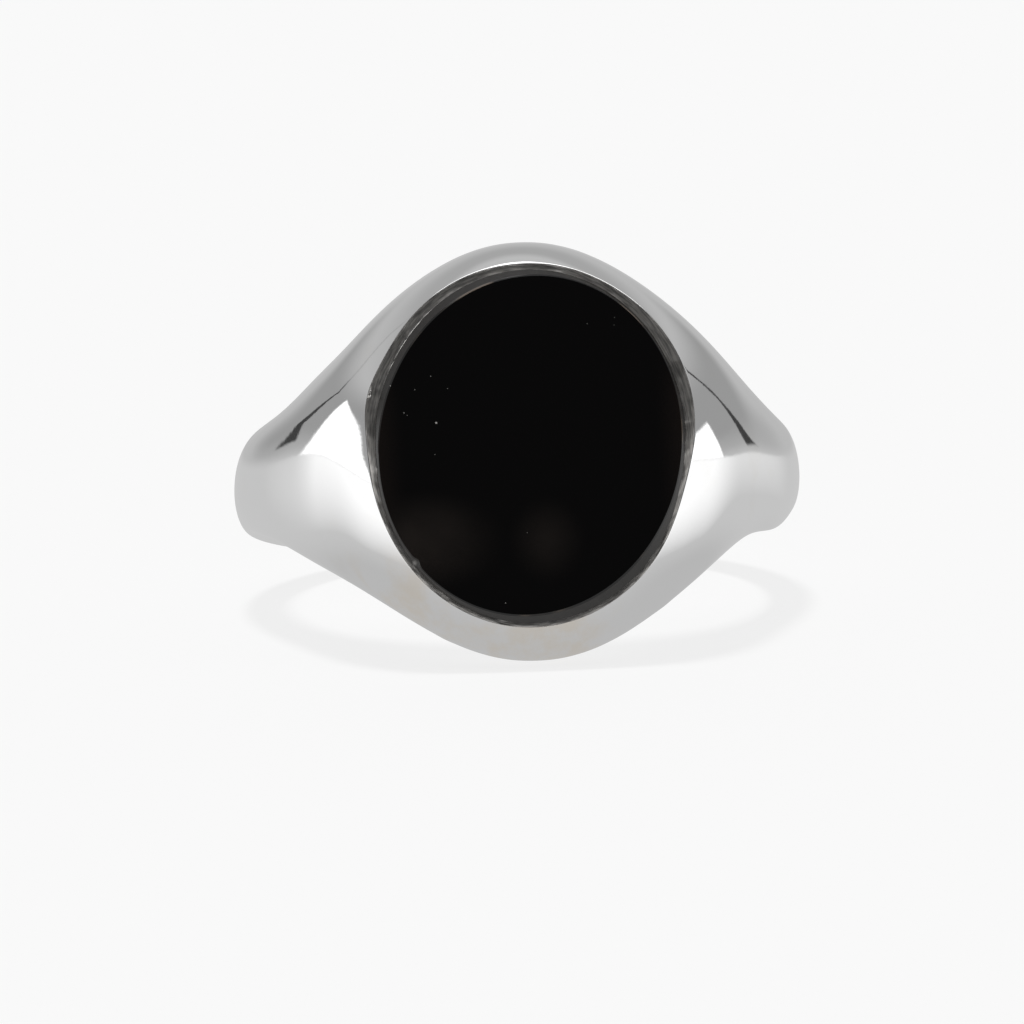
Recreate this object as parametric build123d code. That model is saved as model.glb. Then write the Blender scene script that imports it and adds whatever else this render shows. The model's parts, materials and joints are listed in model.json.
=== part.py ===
from build123d import *
from math import cos, hypot, radians, sin
import os

# Signet ring, size US 10: a cast silver body with a flat oval onyx in a burnished bezel.
# It is drawn on the ring's own axes and then laid down the way it rests on a table,
# with the head's lower edge and the back of the shank touching the table.
# Ring axes while drawing: Z is the finger axis, -Y is where the face looks, X is across.
# Heights are distances from the finger axis along the face's normal. Angles are degrees.

# Finger bore
BORE_RADIUS = 9.9

# Setting in the head
FACE_HEIGHT = 12.5
SEAT_HEIGHT = 10.8
POCKET_HALF_LENGTH = 7.22
POCKET_HALF_WIDTH = 6.42
POCKET_TURN = -4.5

# Bezel lip, which leans in over the first part of the stone's bevel
LIP_RISE = 0.06
LIP_LEAN = 0.26

# Stone: an oval slab with a bevelled edge, whose table is turned a little in the setting
STONE_HALF_LENGTH = 7.06
STONE_HALF_WIDTH = 6.2
TABLE_HALF_LENGTH = 6.81
TABLE_HALF_WIDTH = 5.98
TABLE_TURN = -13.0
TABLE_HEIGHT = 12.75
CEMENT_THICKNESS = 0.15

# Body: each cross-section is a half-ellipse crown over an edge rounded into the bore
HEAD_HALF_SPAN = 8.38
SHANK_HALF_SPAN = 1.55
SPAN_ANGLE = 37.3
SPAN_POWER = 2.15
HEAD_CROWN = 3.45
SHANK_CROWN = 0.65
CROWN_ANGLE = 43.5
CROWN_POWER = 5.5
EDGE_RADIUS = 10.9
EDGE_ROUND = 0.5
EDGE_DEPTH = 1.2
SECTION_ANGLES = [-8, 0, 8, 16, 24, 32, 40, 48, 57, 68, 82, 100, 120, 145, 170, 190]

# Larger than the whole ring, for trimming blocks
BEYOND = 30.0


def half_span(angle):
    """Half of the body's width along the finger, at an angle from the face's normal."""
    fade = 0.5 ** (abs(angle) / SPAN_ANGLE) ** SPAN_POWER
    return SHANK_HALF_SPAN + (HEAD_HALF_SPAN - SHANK_HALF_SPAN) * fade


def crown(angle):
    """How far the middle of the body stands out beyond its edges."""
    fade = 1 / (1 + (abs(angle) / CROWN_ANGLE) ** CROWN_POWER)
    return SHANK_CROWN + (HEAD_CROWN - SHANK_CROWN) * fade


def body_section(angle):
    """Cross-section in the plane through the finger axis; local X is radial, local Y the axis."""
    turn = radians(angle)
    plane = Plane((0, 0, 0), x_dir=(sin(turn), -cos(turn), 0), z_dir=(-cos(turn), -sin(turn), 0))
    span = half_span(angle)
    inner = span - EDGE_ROUND
    bottom = EDGE_RADIUS - EDGE_DEPTH
    with BuildSketch(plane) as sketch:
        with BuildLine():
            EllipticalCenterArc((EDGE_RADIUS, 0), crown(angle), span, -90, arc_size=180)
            EllipticalCenterArc((EDGE_RADIUS, inner), EDGE_DEPTH, EDGE_ROUND, 90, arc_size=90)
            Line((bottom, inner), (bottom, -inner))
            EllipticalCenterArc((EDGE_RADIUS, -inner), EDGE_DEPTH, EDGE_ROUND, 180, arc_size=90)
        make_face()
    return sketch.sketch


def oval(height, half_width, half_length, turn):
    """Oval outline parallel to the face, its long axis turned from the finger axis."""
    plane = Plane((0, -height, 0), x_dir=(1, 0, 0), z_dir=(0, -1, 0))
    return plane * Ellipse(half_width, half_length, rotation=turn)


def slab(low, high, half_width, half_length):
    """Upright oval block between two heights, in line with the pocket."""
    return extrude(oval(low, half_width, half_length, POCKET_TURN), amount=high - low)


def make_ring_body():
    """Shank, shoulders and head in one casting, with the bore and the stone's pocket."""
    right_half = loft([body_section(angle) for angle in SECTION_ANGLES])
    right_half &= Pos(BEYOND / 2, 0, 0) * Box(BEYOND, 2 * BEYOND, BEYOND)
    body = right_half + mirror(right_half, about=Plane.YZ)
    body -= Cylinder(BORE_RADIUS, BEYOND)
    body -= Pos(0, -FACE_HEIGHT - BEYOND / 2, 0) * Box(BEYOND, BEYOND, BEYOND)
    return body - slab(SEAT_HEIGHT, FACE_HEIGHT + 1, POCKET_HALF_WIDTH, POCKET_HALF_LENGTH)


def make_setting_cement():
    """Thin bed that the flat back of the stone is glued on."""
    return slab(SEAT_HEIGHT, SEAT_HEIGHT + CEMENT_THICKNESS, STONE_HALF_WIDTH, STONE_HALF_LENGTH)


def make_onyx_stone():
    """Slab up to the girdle, then a bevel up to the flat table."""
    girdle = oval(FACE_HEIGHT, STONE_HALF_WIDTH, STONE_HALF_LENGTH, POCKET_TURN)
    table = oval(TABLE_HEIGHT, TABLE_HALF_WIDTH, TABLE_HALF_LENGTH, TABLE_TURN)
    under = SEAT_HEIGHT + CEMENT_THICKNESS
    return slab(under, FACE_HEIGHT, STONE_HALF_WIDTH, STONE_HALF_LENGTH) + loft([girdle, table])


def make_bezel(stone, cement):
    """Strip round the stone, soldered into the pocket, with its lip leaning over the bevel."""
    foot = slab(SEAT_HEIGHT, FACE_HEIGHT, POCKET_HALF_WIDTH, POCKET_HALF_LENGTH)
    lip_foot = oval(FACE_HEIGHT, POCKET_HALF_WIDTH, POCKET_HALF_LENGTH, POCKET_TURN)
    lip_top = oval(FACE_HEIGHT + LIP_RISE, POCKET_HALF_WIDTH - LIP_LEAN,
                   POCKET_HALF_LENGTH - LIP_LEAN, POCKET_TURN)
    return foot + loft([lip_foot, lip_top]) - stone - cement


def lowest(direction, edge_height, inner, crown_depth, span):
    """Lowest point, at this tilt, of one end of the ring cut through the middle of the face."""
    sine, cosine, side = direction
    crown_low = -hypot(crown_depth * sine, span * cosine) if side < 0 else -span * cosine
    edge_low = -inner * cosine - hypot(EDGE_DEPTH * sine, (span - inner) * cosine)
    return side * edge_height * sine + (crown_low if side < 0 else edge_low)


def rest_tilt():
    """Tilt at which the head's lower edge and the back of the shank are equally low."""
    low, high = 0.0, 45.0
    for _ in range(50):
        middle = (low + high) / 2
        sine, cosine = sin(radians(middle)), cos(radians(middle))
        head_span, back_span = half_span(0), half_span(180)
        head = lowest((sine, cosine, 1), EDGE_RADIUS, head_span - EDGE_ROUND, crown(0), head_span)
        back = lowest((sine, cosine, -1), EDGE_RADIUS, back_span - EDGE_ROUND, crown(180), back_span)
        low, high = (middle, high) if head < back else (low, middle)
    return middle


def lay_down(nodes):
    """Lay the ring on the table, with the origin under the middle of its box."""
    tilt = Rot(X=-rest_tilt())
    box = (tilt * nodes["ring_body"]).bounding_box()
    place = Pos(0, -box.center().Y, -box.min.Z) * tilt
    return {name: place * shape for name, shape in nodes.items()}


cement = make_setting_cement()
stone = make_onyx_stone()
nodes = {
    "ring_body": make_ring_body(),
    "bezel": make_bezel(stone, cement),
    "onyx_stone": stone,
    "setting_cement": cement,
}

os.makedirs("parts", exist_ok=True)
for name, shape in lay_down(nodes).items():
    export_step(shape, f"parts/{name}.step")
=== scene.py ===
"""Signet ring: the visual pieces, their materials, and a soft studio round them.

Shapes are worked out in millimetres on the ring's own axes: x across, n along the face's normal
from the finger axis, w along the finger. The record's finger bore says where those axes lie.
"""

import json
import math

import bmesh
import bpy
import numpy as np
from mathutils import Matrix, Vector


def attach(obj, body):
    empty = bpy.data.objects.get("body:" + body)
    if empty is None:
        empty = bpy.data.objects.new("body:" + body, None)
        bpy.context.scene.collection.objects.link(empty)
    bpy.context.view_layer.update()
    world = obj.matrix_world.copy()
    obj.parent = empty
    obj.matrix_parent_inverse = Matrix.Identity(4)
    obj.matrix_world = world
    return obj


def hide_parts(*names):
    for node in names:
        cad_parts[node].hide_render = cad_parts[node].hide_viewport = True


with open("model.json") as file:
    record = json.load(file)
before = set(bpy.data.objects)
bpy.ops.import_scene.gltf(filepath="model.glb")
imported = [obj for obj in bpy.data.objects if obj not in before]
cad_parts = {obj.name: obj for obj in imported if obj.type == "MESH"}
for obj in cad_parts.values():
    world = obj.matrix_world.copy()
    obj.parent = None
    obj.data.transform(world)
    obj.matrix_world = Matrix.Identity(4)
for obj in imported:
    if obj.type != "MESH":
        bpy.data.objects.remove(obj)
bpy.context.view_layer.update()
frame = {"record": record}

MM = 0.001

# Body, as in the CAD model
BORE_RADIUS = 9.9
FACE_HEIGHT = 12.5
SEAT_HEIGHT = 10.8
HEAD_HALF_SPAN = 8.38
SHANK_HALF_SPAN = 1.55
SPAN_ANGLE = 37.3
SPAN_POWER = 2.15
HEAD_CROWN = 3.45
SHANK_CROWN = 0.65
CROWN_ANGLE = 43.5
CROWN_POWER = 5.5
EDGE_RADIUS = 10.9
EDGE_ROUND = 0.5

# Setting, as in the CAD model
POCKET_TURN = -4.5
STONE_HALF_LENGTH = 7.06
STONE_HALF_WIDTH = 6.2
TABLE_HALF_LENGTH = 6.81
TABLE_HALF_WIDTH = 5.98
TABLE_TURN = -13.0
TABLE_HEIGHT = 12.75
CEMENT_THICKNESS = 0.15
STONE_FOOT = SEAT_HEIGHT + CEMENT_THICKNESS

# Rim of the face: a hand-filed oval, a little fuller at the upper left and upper right
RIM_HALF_WIDTH = 6.371
RIM_HALF_LENGTH = 7.24
RIM_TURN = -4.23
RIM_BUMPS = [(0.323, 25.3, 35.8), (0.238, 162.1, 13.2), (-0.162, 342.5, 19.5), (0.186, 131.1, 34.3)]

# Height over which the rim is rounded off: everywhere, and on top of that along the upper edge
RIM_SOFTNESS = 0.006
TOP_SOFTNESS = 0.032
TOP_DIRECTION = 82
TOP_SPREAD = 45

# Pocket wall: how far inside the rim it stands, and the round at its upper edge
LAND = 0.008
POCKET_ROUND = 0.005

# Bezel lip: its width, with (extra width, direction, spread) and (count, height, phase) on top
LIP_WIDTH = 0.13
LIP_BUMPS = [(0.30, 160, 30), (0.08, 122, 14), (0.22, 8, 24), (0.10, 45, 22)]
LIP_WAVES = [(7, 0.010, 0.4), (13, 0.010, 1.9), (23, 0.007, 3.1), (41, 0.005, 0.2)]
LIP_DENTS = [(19, 0.006, 0.7), (31, 0.006, 2.2), (53, 0.004, 4.0), (97, 0.003, 1.0)]
GAP = 0.002

# Specks of dust on the table, and the chip: place on the face, size and brightness
DUST = [((-3.69, 1.00), 0.060, 0.90), ((-4.95, 1.44), 0.040, 0.45), ((-4.83, 1.34), 0.028, 0.30),
        ((-3.84, 2.87), 0.034, 0.40), ((-4.49, 2.35), 0.034, 0.35), ((-3.19, 2.35), 0.028, 0.35),
        ((-3.79, -0.26), 0.032, 0.25), ((-5.45, 2.54), 0.036, 0.60), ((2.44, 4.76), 0.038, 0.15),
        ((3.53, 4.97), 0.036, 0.12), ((3.50, 4.67), 0.034, 0.10), ((-1.23, -6.25), 0.036, 0.40),
        ((-0.27, -3.49), 0.026, 0.25), ((-4.76, -4.53), 0.150, 0.25)]

# Unevenness left by hand finishing, on the ring's upper and lower half:
# (how much fuller in mm, angle from the face's normal, spread in degrees)
UPPER_SWELLS = [(0.36, -76, 16), (-0.15, -37, 8), (0.16, 82, 12)]
LOWER_SWELLS = [(0.40, -52, 15), (0.16, -70, 12), (0.55, 68, 12), (0.02, -19, 1.4), (0.02, 27, 1.4)]

# Brightness of the light tent's parts
PANEL_LIGHT = 1.3
TABLE_GLOW = 1.08
BACK_LIGHT = 0.56
SOFTBOX_LIGHT = 2.2
STRIP_LIGHT = 1.8
DARK = 0.05

# The tent's left and right side, in degrees of turn from the camera's side and of lift over the
# foot of the walls. Two numbers fade something in between them; four add its two end values.
#   edge        back edge of the lit panel: its slant across and up, and a turn and lift on it
#   top         upper edge of the lit panel: its slope and its lift at the camera's side
#   seam        dark seam: start beyond the edge, slope, bend high up, hook low down, lowest lift
TENT_SIDES = [
    {"side": -1.0, "fabric": (156, 142), "edge": (0.522, 0.853, 118.0, 7.9), "top": (0.41, -26.7),
     "seam": (8.8, 0.0, 0.55, 1.15, 2.4), "seam_width": (16, 6, 0.4, 0.85),
     "seam_fade": (16, 26, 1.0, 0.2), "glow_rise": (100, 66, 0, 8), "glow_back": (118, 140)},
    {"side": 1.0, "fabric": (152, 136), "edge": (0.604, 0.799, 98.5, 4.6), "top": (0.20, -10.0),
     "seam": (18.8, -0.155, 0.0, -0.2, 1.1), "seam_width": (12, 1, 0.6, 1.7),
     "seam_fade": (25, 40, 1.0, 0.0), "glow_rise": (128, 82, -10, 8), "glow_back": (136, 150)},
]

# Ring axes in the frame
bore = next(m for m in frame["record"]["mounts"] if m["name"] == "finger_bore")
RING_CENTRE = np.array(bore["pos_m"])
FINGER_AXIS = np.array(bore["axis"]) / np.linalg.norm(bore["axis"])
ACROSS = np.array([1.0, 0.0, 0.0])
FACE_NORMAL = np.cross(ACROSS, FINGER_AXIS)


def to_frame(points):
    """Ring points (x, n, w) in millimetres, to the frame's metres."""
    x, n, w = np.moveaxis(np.asarray(points, float), -1, 0)
    axes = (x[..., None] * ACROSS + n[..., None] * FACE_NORMAL + w[..., None] * FINGER_AXIS)
    return RING_CENTRE + axes * MM


# ---------------------------------------------------------------- mesh helpers

class Shell:
    """Points on the ring's axes and the faces between them, gathered sheet by sheet."""

    def __init__(self):
        self.points = []
        self.faces = []

    def add(self, points):
        """Adds an array of points (..., 3) and returns their numbers in the same layout."""
        points = np.asarray(points, float)
        start = len(self.points)
        self.points.extend(points.reshape(-1, 3))
        return np.arange(start, len(self.points)).reshape(points.shape[:-1])

    def quads(self, numbers, keep=None):
        """Faces between the neighbours in a 2-D layout of point numbers."""
        for i in range(numbers.shape[0] - 1):
            for j in range(numbers.shape[1] - 1):
                if keep is None or keep[i, j]:
                    self.faces.append((numbers[i, j], numbers[i, j + 1],
                                       numbers[i + 1, j + 1], numbers[i + 1, j]))

    def loop_quads(self, rows):
        """Faces between closed rows of equal length, laid one inside the other."""
        for outer, inner in zip(rows[:-1], rows[1:]):
            for j in range(len(outer)):
                k = (j + 1) % len(outer)
                self.faces.append((outer[j], outer[k], inner[k], inner[j]))

    def cap(self, row):
        """A fan that closes a row at its middle."""
        middle = self.add(np.mean([self.points[i] for i in row], axis=0))
        for j in range(len(row)):
            self.faces.append((row[j], row[(j + 1) % len(row)], int(middle)))

    def build(self, name, smooth_angle=None):
        """The mesh object, with its faces turned outwards."""
        mesh = bpy.data.meshes.new(name)
        mesh.from_pydata(to_frame(self.points).tolist(), [],
                         [tuple(int(i) for i in face) for face in self.faces])
        bm = bmesh.new()
        bm.from_mesh(mesh)
        bmesh.ops.recalc_face_normals(bm, faces=bm.faces)
        bm.to_mesh(mesh)
        bm.free()
        mesh.shade_smooth()
        if smooth_angle is not None:
            mesh.set_sharp_from_angle(angle=math.radians(smooth_angle))
        piece = bpy.data.objects.new(name, mesh)
        bpy.context.scene.collection.objects.link(piece)
        return piece


def oval_radius(direction, half_width, half_length, turn):
    """Distance from the middle to the edge of a turned oval, in each direction (radians)."""
    local = direction - math.radians(turn)
    return 1 / np.sqrt((np.cos(local) / half_width) ** 2 + (np.sin(local) / half_length) ** 2)


def oval_row(direction, half_width, half_length, turn, height, inset=0.0):
    """Points at given directions on an oval at a height, moved inwards by the inset."""
    radius = oval_radius(direction, half_width, half_length, turn) - inset
    height = np.broadcast_to(height, radius.shape)
    return np.stack([radius * np.cos(direction), height, radius * np.sin(direction)], -1)


def swell(direction, at, width):
    """A smooth bump round the oval, 1 at one direction and fading over the width (degrees)."""
    away = (np.degrees(direction) - at + 180) % 360 - 180
    return np.exp(-(away / width) ** 2)


def ripple(direction, waves):
    """Uneven handwork round the oval, as a sum of (count, height, phase) waves."""
    return sum(height * np.sin(count * direction + phase) for count, height, phase in waves)


def rim_radius(direction):
    """Distance from the face's middle to its rim in each direction (radians)."""
    radius = oval_radius(direction, RIM_HALF_WIDTH, RIM_HALF_LENGTH, RIM_TURN)
    return radius + sum(height * swell(direction, at, width) for height, at, width in RIM_BUMPS)


def rim_row(direction, height, inset):
    """Points along the rim at a height, moved inwards by the inset."""
    radius = rim_radius(direction) - inset
    height = np.broadcast_to(height, radius.shape)
    return np.stack([radius * np.cos(direction), height, radius * np.sin(direction)], -1)


# ---------------------------------------------------------------- body of the ring

def half_span(angle):
    """Half of the body's width along the finger, at an angle from the face's normal."""
    fade = 0.5 ** (np.abs(angle) / SPAN_ANGLE) ** SPAN_POWER
    return SHANK_HALF_SPAN + (HEAD_HALF_SPAN - SHANK_HALF_SPAN) * fade


def uneven_span(angle, swells):
    """Half span with the hand-finished unevenness of the upper or the lower half."""
    return half_span(angle) + sum(height * np.exp(-((angle - at) / spread) ** 2)
                                  for height, at, spread in swells)


def crown(angle):
    """How far the middle of the body stands out beyond its edges."""
    fade = 1 / (1 + (np.abs(angle) / CROWN_ANGLE) ** CROWN_POWER)
    return SHANK_CROWN + (HEAD_CROWN - SHANK_CROWN) * fade


def plain_skin(angle, lean):
    """Outside of the body; lean runs from -90 to 90 degrees across the crown."""
    lean = np.radians(lean)
    radius = EDGE_RADIUS + crown(angle) * np.cos(lean)
    across, along = np.sin(np.radians(angle)), np.cos(np.radians(angle))
    span = np.where(lean > 0, uneven_span(angle, UPPER_SWELLS), uneven_span(angle, LOWER_SWELLS))
    return np.stack(np.broadcast_arrays(radius * across, radius * along, span * np.sin(lean)), -1)


def measure_lift():
    """How much the plain skin must rise, round the rim, to meet the face plane there."""
    spoke = np.radians(np.arange(0, 360, 2.0))
    inside, outside = np.zeros(len(spoke)), np.ones(len(spoke))
    for _ in range(40):
        middle = (inside + outside) / 2
        point = plain_skin(50 * middle * np.cos(spoke), 85 * middle * np.sin(spoke))
        short = np.hypot(point[:, 0], point[:, 2]) < rim_radius(np.arctan2(point[:, 2], point[:, 0]))
        inside, outside = np.where(short, middle, inside), np.where(short, outside, middle)
    direction = np.arctan2(point[:, 2], point[:, 0])
    order = np.argsort(direction)
    return direction[order], (FACE_HEIGHT - point[:, 1])[order]


LIFT_DIRECTION, LIFT = measure_lift()


def skin(angle, lean):
    """The plain skin, lifted near the face so that the two meet along the rim."""
    points = plain_skin(angle, lean)
    direction = np.arctan2(points[..., 2], points[..., 0])
    beyond = np.maximum(np.hypot(points[..., 0], points[..., 2]) / rim_radius(direction) - 1, 0)
    share = np.exp(-(beyond / 0.45) ** 2) * (1 - (np.abs(lean) / 90) ** 8)
    lift = np.interp(direction, LIFT_DIRECTION, LIFT, period=2 * math.pi)
    points[..., 1] += np.where(np.abs(angle) < 80, share * lift, 0)
    return points


def softened(points):
    """Skin points, with the part above the face flattened into it over a small round."""
    points = points.copy()
    direction = np.arctan2(points[..., 2], points[..., 0])
    soft = RIM_SOFTNESS + TOP_SOFTNESS * swell(direction, TOP_DIRECTION, TOP_SPREAD)
    points[..., 1] = FACE_HEIGHT - soft * np.logaddexp(0, (FACE_HEIGHT - points[..., 1]) / soft)
    return points


def edge_and_bore(angle, steps, bore_steps):
    """From the crown's upper edge, round into the bore, across it and back to the lower edge."""
    upper = (uneven_span(angle, UPPER_SWELLS) - EDGE_ROUND)[:, None]
    lower = (EDGE_ROUND - uneven_span(angle, LOWER_SWELLS))[:, None]
    turn = np.radians(np.linspace(0, 90, steps + 1))[1:]
    rounded_w = EDGE_ROUND * np.cos(turn)
    rounded_r = EDGE_RADIUS - (EDGE_RADIUS - BORE_RADIUS) * np.sin(turn)
    share = np.linspace(0, 1, bore_steps + 1)[1:-1]
    w = np.hstack([upper + rounded_w, upper + (lower - upper) * share, lower - rounded_w[::-1]])
    r = np.hstack([rounded_r, np.full(len(share), BORE_RADIUS), rounded_r[::-1]])
    r = np.broadcast_to(r, w.shape)
    turned = np.radians(angle)[:, None]
    return np.stack([r * np.sin(turned), r * np.cos(turned), w], -1)


def make_ring_body():
    """The casting: a grid round the finger, with the oval face let into its crown."""
    column_step, lean_step = 1.0, 3.0
    face_angle, face_lean = 44.0, 81.0
    angles = np.arange(-180, 180, column_step)
    leans = np.arange(-90, 90 + lean_step / 2, lean_step)
    shell = Shell()
    crown_points = skin(angles[:, None], leans[None, :])
    rest_points = edge_and_bore(angles, 8, 12)
    ring = shell.add(np.concatenate([softened(crown_points), rest_points], axis=1))
    closed = np.concatenate([ring, ring[:1]], axis=0)
    closed = np.concatenate([closed, closed[:, :1]], axis=1)
    first = np.searchsorted(angles, -face_angle)
    last = np.searchsorted(angles, face_angle)
    low = np.searchsorted(leans, -face_lean - 1e-6)
    high = np.searchsorted(leans, face_lean - 1e-6)
    keep = np.ones((closed.shape[0] - 1, closed.shape[1] - 1), bool)
    keep[first:last, low:high] = False
    shell.quads(closed, keep)

    # The border of the window left in the grid, once round
    border = [(i, low) for i in range(first, last)] + [(last, j) for j in range(low, high)]
    border += [(i, high) for i in range(last, first, -1)] + [(first, j) for j in range(high, low, -1)]
    corner = np.array([(angles[i], leans[j]) for i, j in border])
    rows = [ring[[i for i, _ in border], [j for _, j in border]]]

    def reach():
        """Share of the way out from the middle at which the skin comes to the pocket's edge."""
        inside, outside = np.zeros(len(corner)), np.ones(len(corner))
        for _ in range(40):
            middle = (inside + outside) / 2
            point = skin(corner[:, 0] * middle, corner[:, 1] * middle)
            edge = rim_radius(np.arctan2(point[:, 2], point[:, 0])) - LAND + POCKET_ROUND
            short = np.hypot(point[:, 0], point[:, 2]) < edge
            inside, outside = np.where(short, middle, inside), np.where(short, outside, middle)
        return middle

    start = reach()
    for step in np.linspace(0, 1, 33)[1:]:
        share = 1 + (start - 1) * (1 - (1 - step) ** 1.8)
        rows.append(shell.add(softened(skin(corner[:, 0] * share, corner[:, 1] * share))))
    inner = np.array([shell.points[i] for i in rows[-1]])
    direction = np.arctan2(inner[:, 2], inner[:, 0])
    for turn in np.radians([30, 60, 90]):
        drop = POCKET_ROUND * (1 - math.cos(turn))
        rows.append(shell.add(rim_row(direction, inner[:, 1] - drop,
                                      LAND - POCKET_ROUND * (1 - math.sin(turn)))))
    for height in np.linspace(FACE_HEIGHT - 0.3, SEAT_HEIGHT, 4):
        rows.append(shell.add(rim_row(direction, height, LAND)))
    rows.append(shell.add(rim_row(direction, SEAT_HEIGHT, 3.0)))
    shell.loop_quads(rows)
    shell.cap(rows[-1])
    return shell.build("ring_body_polished", smooth_angle=50)


# ---------------------------------------------------------------- bezel, stone and cement

def lip_width(direction):
    """How far the metal reaches in from the rim: broad at the left and at the right."""
    bumps = sum(extra * swell(direction, at, spread) for extra, at, spread in LIP_BUMPS)
    return LIP_WIDTH + bumps + ripple(direction, LIP_WAVES)


def bevel_height(direction, radius):
    """Height of the stone's bevel at a distance from the face's middle."""
    girdle = oval_radius(direction, STONE_HALF_WIDTH, STONE_HALF_LENGTH, POCKET_TURN)
    table = oval_radius(direction, TABLE_HALF_WIDTH, TABLE_HALF_LENGTH, TABLE_TURN)
    share = np.clip((girdle - radius) / (girdle - table), 0, 1)
    return FACE_HEIGHT + share * (TABLE_HEIGHT - FACE_HEIGHT)


def make_bezel():
    """Strip of metal in the pocket, its lip rubbed down over the stone's bevel by hand."""
    direction = np.linspace(0, 2 * math.pi, 1081)[:-1]
    girdle = oval_radius(direction, STONE_HALF_WIDTH, STONE_HALF_LENGTH, POCKET_TURN)
    table = oval_radius(direction, TABLE_HALF_WIDTH, TABLE_HALF_LENGTH, TABLE_TURN)
    outline = rim_radius(direction) - LAND - GAP
    inner = np.minimum(rim_radius(direction) - lip_width(direction), girdle - 0.006)
    inner = np.maximum(inner, table + 0.015)
    dent = ripple(direction, LIP_DENTS)
    burr = 0.20 * swell(direction, 160.3, 0.6) + 0.08 * swell(direction, 158.6, 0.6)
    # Burnished places on the lip's edge: a smoother finish, and the colour lifted to full silver there,
    # a painted highlight for the glints.
    burnished_glint = swell(direction, 137, 13) + swell(direction, 7, 12) + 0.7 * swell(direction, 186, 9)
    burnished_glint = np.clip(burnished_glint * (1 + ripple(direction, [(47, 0.3, 0.5), (83, 0.25, 2.0)])), 0, 1)
    rise = bevel_height(direction, inner) - FACE_HEIGHT + 0.004 + 0.03 * burnished_glint
    shell = Shell()
    polish_and_glint = []

    def row(radius, height, burnish_glint=0.0):
        height = np.broadcast_to(height, radius.shape)
        polish_and_glint.append(np.broadcast_to(burnish_glint, radius.shape))
        return shell.add(np.stack([radius * np.cos(direction), height, radius * np.sin(direction)], -1))

    rows = [row(outline, SEAT_HEIGHT + 0.001), row(outline, FACE_HEIGHT - 0.05),
            row(outline, FACE_HEIGHT - 0.004)]
    for share in np.linspace(0.06, 1, 16):
        bow = 0.05 * math.sin(math.pi * share) * (outline - inner)
        wave = dent * math.sin(math.pi * share)
        height = FACE_HEIGHT + rise * share + bow + wave + burr * max(0, 1 - 4 * share)
        # Beside the burr the lip is also lifted to full silver: a painted highlight on its side.
        rows.append(row(outline + (inner - outline) * share, height,
                        burnished_glint * max(0, 8 * share - 7) + np.clip(8 * burr, 0, 1) * (share < 0.3)))
    edge = 0.007 + 0.045 * burnished_glint
    for turn in np.radians([30, 60, 90]):
        rows.append(row(inner - edge * math.sin(turn),
                        FACE_HEIGHT + rise - edge * (1 - math.cos(turn)), burnished_glint))
    sunk = inner - edge
    rows.append(row(sunk, np.minimum(bevel_height(direction, sunk), FACE_HEIGHT + rise - edge) - 0.004))
    wall = np.maximum(girdle, sunk) + 0.004
    rows += [row(wall, FACE_HEIGHT - 0.02), row(girdle + 0.004, FACE_HEIGHT - 0.08),
             row(girdle + 0.004, SEAT_HEIGHT + 0.001)]
    shell.loop_quads(rows + [rows[0]])
    piece = shell.build("bezel_lip", smooth_angle=60)
    burnish_glint = piece.data.attributes.new("burnish_glint", "FLOAT", "POINT")
    burnish_glint.data.foreach_set("value", np.concatenate(polish_and_glint))
    return piece


def make_stone():
    """Slab, bevel and flat table, with a small chip out of the table's edge low on the left."""
    direction = np.linspace(0, 2 * math.pi, 1081)[:-1]
    shell = Shell()
    girdle = oval_row(direction, STONE_HALF_WIDTH, STONE_HALF_LENGTH, POCKET_TURN, FACE_HEIGHT)
    table = oval_row(direction, TABLE_HALF_WIDTH, TABLE_HALF_LENGTH, TABLE_TURN, TABLE_HEIGHT)
    chip = 1 - 0.018 * swell(direction, 224, 1.7) - 0.004 * swell(direction, 220, 3)
    table[:, 0] *= chip
    table[:, 2] *= chip
    foot = girdle.copy()
    foot[:, 1] = STONE_FOOT
    inset_foot = foot * [0.9, 1, 0.9]
    rows = [shell.add(inset_foot), shell.add(foot)]
    rows += [shell.add(girdle - [0, drop, 0]) for drop in (0.2, 0.0)]
    soft = 0.03
    for share in np.linspace(0.1, 0.88, 9):
        rows.append(shell.add(girdle + (table - girdle) * share))
    for turn in np.radians([30, 50, 70, 90]):
        inward = 1 - soft * (1 - math.cos(turn)) / 6.4
        rows.append(shell.add((table - [0, soft * (1 - math.sin(turn)), 0]) * [inward, 1, inward]))
    for scale in (0.99, 0.95, 0.7, 0.35):
        rows.append(shell.add(table * [scale, 1, scale]))
    shell.loop_quads(rows)
    shell.cap(rows[-1])
    shell.cap(rows[0][::-1])
    return shell.build("onyx_oval", smooth_angle=35)


def make_cement():
    """Glue bed under the stone, squeezed out a little thinner towards its edge."""
    direction = np.linspace(0, 2 * math.pi, 181)[:-1]
    shell = Shell()
    rows = []
    for inset, height in ((3.0, SEAT_HEIGHT + 0.002), (0.03, SEAT_HEIGHT + 0.002),
                          (0.005, SEAT_HEIGHT + 0.05), (0.03, STONE_FOOT - 0.01),
                          (3.0, STONE_FOOT - 0.001)):
        rows.append(shell.add(oval_row(direction, STONE_HALF_WIDTH, STONE_HALF_LENGTH,
                                       POCKET_TURN, height, inset)))
    shell.loop_quads(rows)
    shell.cap(rows[-1])
    shell.cap(rows[0][::-1])
    return shell.build("cement_bed", smooth_angle=40)


# ---------------------------------------------------------------- materials

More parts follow.
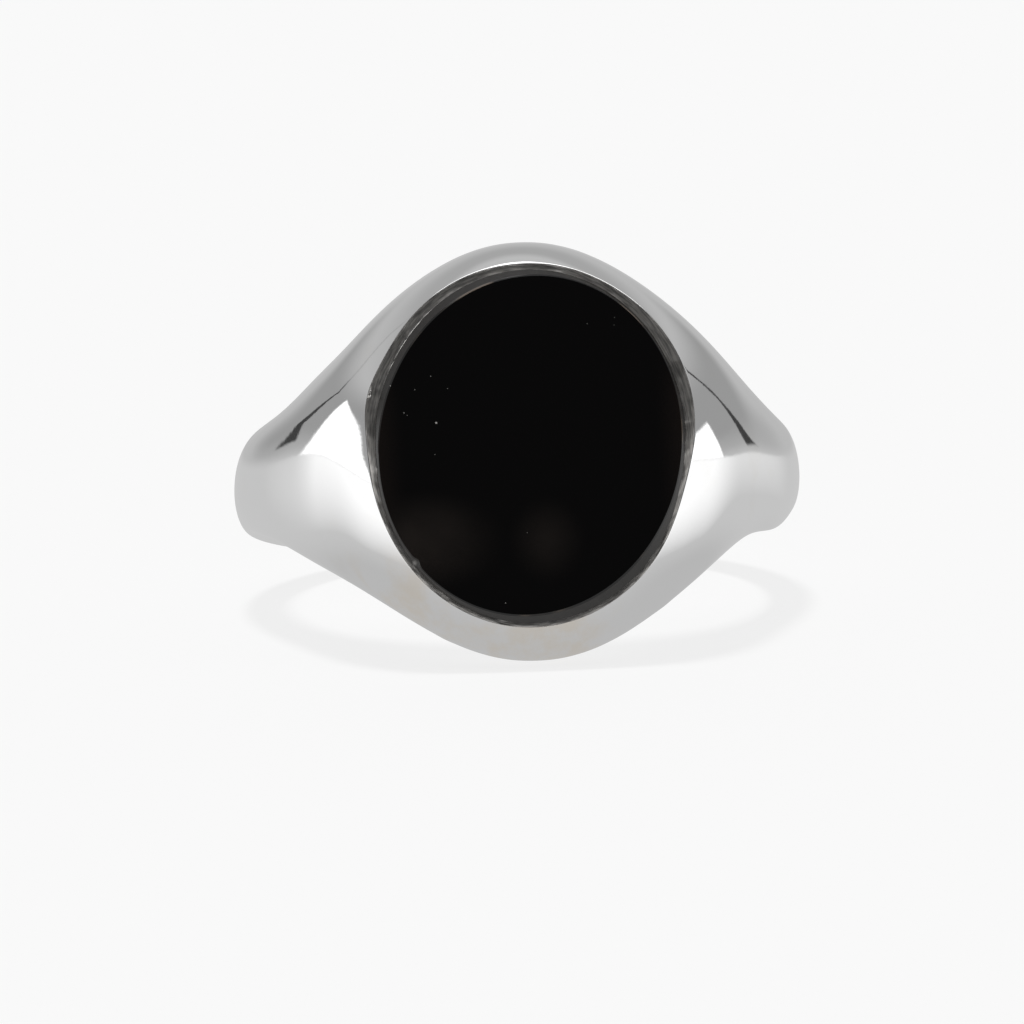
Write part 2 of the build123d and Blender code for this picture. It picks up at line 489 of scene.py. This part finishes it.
class Nodes:
    """A material's or world's node tree, with short calls for the nodes used here."""

    def __init__(self, owner):
        owner.use_nodes = True
        self.tree = owner.node_tree
        self.tree.nodes.clear()

    def add(self, kind, settings=None, **inputs):
        """Adds a node; settings are its properties, inputs are values or other sockets."""
        node = self.tree.nodes.new(kind)
        for key, value in (settings or {}).items():
            setattr(node, key, value)
        for key, value in inputs.items():
            self.feed(node, key, value)
        return node

    def feed(self, node, key, value):
        """Sets an input by its name, with _ for a space, or by its number."""
        socket = node.inputs[int(key[1:]) if key[:1] == "i" and key[1:].isdigit()
                             else key.replace("_", " ")]
        if isinstance(value, bpy.types.NodeSocket):
            self.tree.links.new(value, socket)
        else:
            socket.default_value = value

    def math(self, operation, a, b=0.0, c=0.0):
        node = self.add("ShaderNodeMath", {"operation": operation}, i0=a, i1=b, i2=c)
        return node.outputs[0]

    def span(self, value, low, high, to_low=0.0, to_high=1.0):
        """Smooth step from one pair of values to another."""
        node = self.add("ShaderNodeMapRange", {"interpolation_type": "SMOOTHSTEP"}, Value=value)
        for key, number in (("From Min", low), ("From Max", high),
                            ("To Min", to_low), ("To Max", to_high)):
            self.feed(node, key, number)
        return node.outputs[0]

    def ramp(self, value, low, high, to_low=0.0, to_high=1.0):
        """Straight ramp from one pair of values to another."""
        node = self.add("ShaderNodeMapRange", Value=value)
        for key, number in (("From Min", low), ("From Max", high),
                            ("To Min", to_low), ("To Max", to_high)):
            self.feed(node, key, number)
        return node.outputs[0]

    def noise(self, place, scale, detail=3.0, roughness=0.55):
        node = self.add("ShaderNodeTexNoise", Vector=place, Scale=scale, Detail=detail,
                        Roughness=roughness)
        return node.outputs["Fac"]

    def blend(self, share, a, b):
        """Mix of two colours."""
        node = self.add("ShaderNodeMix", {"data_type": "RGBA"})
        self.feed(node, "i0", share)
        self.feed(node, "i6", a)
        self.feed(node, "i7", b)
        return node.outputs[2]

    def bump(self, height, distance, strength=1.0, normal=None):
        node = self.add("ShaderNodeBump", Height=height, Distance=distance, Strength=strength)
        if normal is not None:
            self.feed(node, "Normal", normal)
        return node.outputs[0]


def ring_place(n):
    """Sockets for a shading point on the ring's axes: x, height over the finger axis, w (mm)."""
    place = n.add("ShaderNodeTexCoord").outputs["Object"]
    offset = n.add("ShaderNodeVectorMath", {"operation": "SUBTRACT"}, i0=place, i1=tuple(RING_CENTRE))
    sockets = []
    for axis in (ACROSS, FACE_NORMAL, FINGER_AXIS):
        dot = n.add("ShaderNodeVectorMath", {"operation": "DOT_PRODUCT"}, i0=offset.outputs[0],
                    i1=tuple(axis / MM))
        sockets.append(dot.outputs["Value"])
    return place, *sockets


def spot(n, x, w, at, size):
    """1 at a place on the face, fading to 0 over an oval of the given size (mm)."""
    across = n.math("DIVIDE", n.math("SUBTRACT", x, at[0]), size[0])
    along = n.math("DIVIDE", n.math("SUBTRACT", w, at[1]), size[1])
    far = n.math("SQRT", n.math("ADD", n.math("MULTIPLY", across, across),
                                n.math("MULTIPLY", along, along)))
    return n.span(far, 1.0, 0.0)


def polished_silver():
    """Hand-polished sterling: fine scratches, faint polishing waves and a little tarnish."""
    material = bpy.data.materials.new("polished_silver")
    n = Nodes(material)
    place, x, height, w = ring_place(n)
    smudge = n.noise(place, 420.0, 4.0)
    grain = n.noise(place, 5200.0, 2.0)
    tarnish = n.noise(place, 380.0, 5.0, 0.6)
    low = n.math("MULTIPLY", n.math("MULTIPLY", n.span(w, -3.4, -6.0), n.span(x, 4.5, 1.0)),
                 n.span(tarnish, 0.40, 0.60))
    low = n.math("MULTIPLY", low, n.span(height, BORE_RADIUS + 0.1, BORE_RADIUS + 0.6))
    colour = n.blend(n.span(tarnish, 0.55, 0.8, 0.0, 0.35),
                     (0.93, 0.93, 0.93, 1), (0.88, 0.86, 0.83, 1))
    colour = n.blend(n.math("MULTIPLY", low, 0.7), colour, (0.92, 0.84, 0.73, 1))
    rough = n.math("ADD", n.span(smudge, 0.4, 0.75, 0.03, 0.06), n.span(grain, 0.5, 0.8, 0.0, 0.02))
    waves = n.bump(n.noise(place, 700.0, 2.0), 0.0000015)
    dimples = n.bump(n.noise(place, 2600.0, 3.0), 0.0000007, 1.0, waves)
    scratches = n.bump(grain, 0.0000003, 0.6, dimples)
    shader = n.add("ShaderNodeBsdfPrincipled", Base_Color=colour, Metallic=1.0, Roughness=rough,
                   Normal=scratches)
    n.add("ShaderNodeOutputMaterial", Surface=shader.outputs[0])
    return material


def rubbed_silver_painted_shade():
    """The lip: silver greyed by painted shade for the dark tent it mirrors, with burnishing lines along
    it and darker streaks between them.
    """
    material = bpy.data.materials.new("rubbed_silver_painted_shade")
    n = Nodes(material)
    place, x, _, w = ring_place(n)
    across = n.math("DIVIDE", x, RIM_HALF_WIDTH)
    along = n.math("DIVIDE", w, RIM_HALF_LENGTH)
    out = n.math("SQRT", n.math("ADD", n.math("MULTIPLY", across, across),
                                n.math("MULTIPLY", along, along)))
    around = n.add("ShaderNodeCombineXYZ", X=n.math("MULTIPLY", across, 9.0),
                   Y=n.math("MULTIPLY", along, 9.0), Z=n.math("MULTIPLY", out, 110.0))
    lines = n.noise(around.outputs[0], 1.0, 3.0, 0.6)
    patches = n.noise(place, 1500.0, 4.0)
    # The lip's grey colour is painted shade for the dark surroundings it mirrors; the streaks are its
    # burnishing lines.
    colour = n.blend(n.span(lines, 0.38, 0.62), (0.36, 0.35, 0.34, 1), (0.66, 0.64, 0.61, 1))
    colour = n.blend(n.span(patches, 0.55, 0.75, 0.0, 0.5), colour, (0.40, 0.38, 0.36, 1))
    # Painted shade: a darker patch on the lip low on the right, where it mirrors the bright side panel.
    colour = n.blend(n.math("MULTIPLY", spot(n, x, w, (6.3, -3.3), (1.9, 3.6)), 0.8), colour,
                     (0.20, 0.19, 0.18, 1))
    # Painted highlight: where burnished, the lip's colour goes to full silver so its edge glints.
    bright = n.add("ShaderNodeAttribute", {"attribute_name": "burnish_glint"}).outputs["Fac"]
    colour = n.blend(bright, colour, (0.95, 0.93, 0.90, 1))
    rough = n.math("SUBTRACT", n.span(patches, 0.3, 0.7, 0.34, 0.46), n.math("MULTIPLY", bright, 0.22))
    shader = n.add("ShaderNodeBsdfPrincipled", Base_Color=colour, Metallic=1.0, Roughness=rough,
                   Normal=n.bump(lines, 0.000006, 0.7))
    n.add("ShaderNodeOutputMaterial", Surface=shader.outputs[0])
    return material


def black_onyx():
    """Polished black stone: ground bevel, a painted warm highlight along the table's edge, faint cloud
    and a few specks of dust.
    """
    material = bpy.data.materials.new("black_onyx")
    n = Nodes(material)
    place, x, height, w = ring_place(n)
    black = (0.0008, 0.0006, 0.0007, 1)
    cloud = n.math("MAXIMUM", spot(n, x, w, (-4.3, -3.7), (3.4, 2.2)),
                   n.math("MULTIPLY", spot(n, x, w, (0.5, -3.8), (1.7, 1.9)), 0.6))
    cloud = n.math("MULTIPLY", cloud, n.span(n.noise(place, 500.0, 3.0), 0.2, 0.7, 0.6, 1.0))
    colour = n.blend(cloud, black, (0.018, 0.0145, 0.0125, 1))
    ends = n.span(n.math("ABSOLUTE", x), 4.9, 6.2)
    colour = n.blend(n.math("MULTIPLY", ends, n.span(n.math("ABSOLUTE", w), 4.5, 1.5)), colour,
                     (0.007, 0.0048, 0.004, 1))
    ground = n.span(height, TABLE_HEIGHT - 0.03, TABLE_HEIGHT - 0.045)
    grey = n.blend(n.noise(place, 2400.0, 3.0), (0.020, 0.019, 0.018, 1), (0.034, 0.031, 0.029, 1))
    colour = n.blend(ground, colour, grey)
    # Painted highlight: a thin warm line along the table's rounded edge, where it catches the light,
    # stronger at the upper right and the top.
    edge = n.math("MULTIPLY", n.span(height, TABLE_HEIGHT - 0.05, TABLE_HEIGHT - 0.02),
                  n.span(height, TABLE_HEIGHT - 0.0005, TABLE_HEIGHT - 0.004))
    highlight_spots = n.math("MAXIMUM", spot(n, x, w, (4.0, 5.0), (1.7, 1.7)),
                  spot(n, x, w, (-2.0, 6.4), (1.6, 1.2)))
    warm = n.math("ADD", n.noise(place, 380.0, 2.0), n.math("MULTIPLY", highlight_spots, 0.25))
    warm = n.span(warm, 0.58, 0.74)
    colour = n.blend(n.math("MULTIPLY", edge, warm), colour, (0.13, 0.10, 0.075, 1))
    for at, size, strength in DUST:
        colour = n.blend(n.math("MULTIPLY", spot(n, x, w, at, (size, size)), strength), colour,
                         (0.75, 0.73, 0.70, 1))
    rough = n.math("ADD", n.span(n.noise(place, 700.0, 3.0), 0.3, 0.8, 0.03, 0.07),
                   n.math("MULTIPLY", ground, 0.2))
    shader = n.add("ShaderNodeBsdfPrincipled", Base_Color=colour, Roughness=rough, IOR=1.56)
    n.add("ShaderNodeOutputMaterial", Surface=shader.outputs[0])
    return material


def dull_cement():
    """Cured two-part cement with trapped grit."""
    material = bpy.data.materials.new("setting_cement")
    n = Nodes(material)
    place = n.add("ShaderNodeTexCoord").outputs["Object"]
    grit = n.noise(place, 4000.0, 4.0)
    colour = n.blend(grit, (0.5, 0.45, 0.36, 1), (0.7, 0.66, 0.56, 1))
    shader = n.add("ShaderNodeBsdfPrincipled", Base_Color=colour, Roughness=0.7,
                   Normal=n.bump(grit, 0.00002))
    n.add("ShaderNodeOutputMaterial", Surface=shader.outputs[0])
    return material


# ---------------------------------------------------------------- studio

def tent_light(n, direction):
    """Brightness of the light tent in a direction, with its lit side panels and dark seams.

    Turn is measured from the camera's side, in degrees, positive to the right; rise is from
    the horizon, and lift from where the tent's walls meet the table. What lies below that is
    the table, brightest beside the side panels.
    """
    parts = n.add("ShaderNodeSeparateXYZ", Vector=direction)
    x, y, z = parts.outputs
    degrees = 180 / math.pi
    turn = n.math("MULTIPLY", n.math("ARCTAN2", x, n.math("MULTIPLY", y, -1.0)), degrees)
    rise = n.math("MULTIPLY", n.math("ARCSINE", z), degrees)
    away = n.math("ABSOLUTE", turn)
    foot = n.math("SUBTRACT", n.math("MULTIPLY_ADD", y, -6.5, 0.9), n.math("MULTIPLY", x, 2.2))
    lift = n.math("SUBTRACT", rise, foot)

    def product(*shares):
        total = shares[0]
        for share in shares[1:]:
            total = n.math("MULTIPLY", total, share)
        return total

    def paint(light, share, value):
        mix = n.add("ShaderNodeMix", {"data_type": "FLOAT"}, i0=share, i2=light, i3=value)
        return mix.outputs[0]

    def beyond_edge(turned, along, up, turn_at, lift_at):
        """Degrees beyond a slanted edge through a point, on one side of the tent."""
        across = n.math("MULTIPLY", n.math("SUBTRACT", turned, turn_at), along)
        return n.math("ADD", across, n.math("MULTIPLY", n.math("SUBTRACT", lift, lift_at), up))

    # Fabric all round, and the plain table
    light = n.span(rise, 30, 55, 0.50, 0.40)
    light = paint(light, n.span(rise, 62, 74), 0.53)
    light = paint(light, n.span(lift, 1, -1.5), 0.58)
    light = paint(light, n.span(rise, -22, -58), 0.50)
    # The paler back of the tent, then each side: dull fabric, lit panel, lit table and dark seam
    back = product(n.span(away, 155, 172), n.span(rise, -6, 2), n.span(rise, 30, 12))
    light = paint(light, back, BACK_LIGHT)
    for tent in TENT_SIDES:
        turned = n.math("MULTIPLY", turn, tent["side"])
        beyond = beyond_edge(turned, *tent["edge"])
        slope, top = tent["top"]
        over = n.math("SUBTRACT", n.math("SUBTRACT", lift, n.math("MULTIPLY", turned, slope)), top)
        reach = n.span(turned, 52, 58)
        fabric = product(reach, n.span(turned, *tent["fabric"]), n.span(lift, 0, 2),
                         n.span(rise, 34, 14))
        light = paint(light, fabric, n.span(lift, 5.5, 0.8, 0.33, 0.42))
        panel = product(reach, n.span(beyond, 0.8, -0.8), n.span(over, 0.8, -0.8))
        glow = n.ramp(n.math("ADD", rise, n.span(turned, *tent["glow_rise"])), -26, 2)
        glow = product(glow, n.span(turned, *tent["glow_back"], 1.0, 0.0), n.span(turned, 10, 50))
        light = paint(light, product(panel, n.span(lift, -0.6, 0.2)), PANEL_LIGHT)
        light = paint(light, product(glow, n.span(lift, 0.2, -0.6)), TABLE_GLOW)
        start, drift, bend, hook, lowest = tent["seam"]
        high = n.math("MULTIPLY", n.math("MAXIMUM", n.math("SUBTRACT", lift, 17.0), 0.0), bend)
        low = n.math("MULTIPLY", n.math("MAXIMUM", n.math("SUBTRACT", 5.5, lift), 0.0), -hook)
        course = n.math("ADD", n.math("MULTIPLY_ADD", lift, drift, start), n.math("ADD", high, low))
        line = n.math("DIVIDE", n.math("ABSOLUTE", n.math("SUBTRACT", beyond, course)),
                      n.span(lift, *tent["seam_width"]))
        dark = product(n.span(line, 1.15, 0.75), n.span(lift, *tent["seam_fade"]), reach,
                       n.span(lift, lowest - 0.4, lowest + 0.4), n.span(lift, 58, 48))
        light = paint(light, dark, DARK)
    # Softbox overhead, a strip light across the tent, and the dark card that the stone mirrors
    overhead = n.math("MULTIPLY_ADD", y, -0.18, n.math("MULTIPLY", z, 0.984))
    light = paint(light, n.span(overhead, 0.985, 0.99), SOFTBOX_LIGHT)
    strip = n.span(n.math("ABSOLUTE", n.math("ADD", y, 0.165)), 0.075, 0.055)
    strip = product(strip, n.span(x, -0.46, -0.38), n.span(x, 0.64, 0.56), n.span(z, 0.5, 0.6))
    light = paint(light, strip, STRIP_LIGHT)
    card = product(n.span(away, 61, 54), n.span(rise, 1, 5), n.span(rise, 72, 68))
    return paint(light, card, DARK)


def make_surroundings():
    """The light tent as the world."""
    world = bpy.data.worlds.new("light_tent")
    bpy.context.scene.world = world
    n = Nodes(world)
    direction = n.add("ShaderNodeTexCoord").outputs["Generated"]
    background = n.add("ShaderNodeBackground", Strength=1.0)
    n.feed(background, "Color", tent_light(n, direction))
    n.add("ShaderNodeOutputWorld", Surface=background.outputs[0])


def make_floor():
    """Light table: it glows by itself, and takes only a pale shadow.

    In the silver it is dimmer than to the eye, and shares the tent's brightness pattern.
    """
    size = 3.0
    mesh = bpy.data.meshes.new("studio_floor")
    corners = [(-size, -size, 0), (size, -size, 0), (size, size, 0), (-size, size, 0)]
    mesh.from_pydata(corners, [], [(0, 1, 2, 3)])
    floor = bpy.data.objects.new("studio_floor", mesh)
    bpy.context.scene.collection.objects.link(floor)
    material = bpy.data.materials.new("studio_floor")
    n = Nodes(material)

    def lit(colour, glow):
        diffuse = n.add("ShaderNodeBsdfDiffuse", Color=(colour, colour, colour, 1))
        emission = n.add("ShaderNodeEmission", Color=(1, 1, 1, 1), Strength=glow)
        return n.add("ShaderNodeAddShader", i0=diffuse.outputs[0], i1=emission.outputs[0]).outputs[0]

    # Directions are taken from the nearer shoulder, where the silver that mirrors the table is
    place = n.add("ShaderNodeNewGeometry").outputs["Position"]
    nearer = n.add("ShaderNodeVectorMath", {"operation": "MINIMUM"}, i0=place,
                   i1=(0.0085, -0.008, 0.0065))
    nearer = n.add("ShaderNodeVectorMath", {"operation": "MAXIMUM"}, i0=nearer.outputs[0],
                   i1=(-0.0085, -0.008, 0.0065))
    offset = n.add("ShaderNodeVectorMath", {"operation": "SUBTRACT"}, i0=place, i1=nearer.outputs[0])
    direction = n.add("ShaderNodeVectorMath", {"operation": "NORMALIZE"}, i0=offset.outputs[0])
    mirrored = tent_light(n, direction.outputs[0])
    path = n.add("ShaderNodeLightPath")
    mix = n.add("ShaderNodeMixShader", i0=path.outputs["Is Glossy Ray"], i1=lit(0.16, 0.80),
                i2=lit(0.0, mirrored))
    n.add("ShaderNodeOutputMaterial", Surface=mix.outputs[0])
    mesh.materials.append(material)
    return floor


def make_key_light():
    """Soft sun-like lamp, a little behind and to the left, for the shadow on the table."""
    lamp = bpy.data.lights.new("overhead", "SUN")
    lamp.angle = math.radians(10)
    lamp.energy = 1.6
    light = bpy.data.objects.new("overhead", lamp)
    light.rotation_euler = (math.radians(-8), math.radians(-4), 0)
    light.visible_glossy = False
    bpy.context.scene.collection.objects.link(light)


def make_camera():
    """Long lens, low over the table and a little to the ring's left."""
    distance = 0.330
    azimuth, elevation, roll = map(math.radians, (-2.724, 10.710, -1.447))
    frame_width = 0.04208
    target = Vector((-0.00023, 0.00132, 0.00373))
    back = Vector((math.sin(azimuth) * math.cos(elevation),
                   -math.cos(azimuth) * math.cos(elevation), math.sin(elevation)))
    data = bpy.data.cameras.new("camera")
    data.sensor_width = 36.0
    data.lens = data.sensor_width * distance / frame_width
    data.clip_start = 0.01
    data.clip_end = 20.0
    camera = bpy.data.objects.new("camera", data)
    turn = (-back).to_track_quat("-Z", "Y").to_matrix().to_4x4()
    place = Matrix.Translation(target + back * distance)
    camera.matrix_world = place @ turn @ Matrix.Rotation(roll, 4, "Z")
    bpy.context.scene.collection.objects.link(camera)
    bpy.context.scene.camera = camera


# ---------------------------------------------------------------- the scene

make_camera()
make_surroundings()
make_key_light()
make_floor()

pieces = [
    (make_ring_body(), "ring_body", "silver_body", polished_silver()),
    (make_bezel(), "bezel", "silver_bezel", rubbed_silver_painted_shade()),
    (make_stone(), "onyx_stone", "black_onyx", black_onyx()),
    (make_cement(), "setting_cement", "cement", dull_cement()),
]
for piece, node, slot, material in pieces:
    piece.data.materials.append(material)
    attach(piece, "root")
    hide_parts(node)

bpy.context.scene.view_settings.view_transform = "Standard"
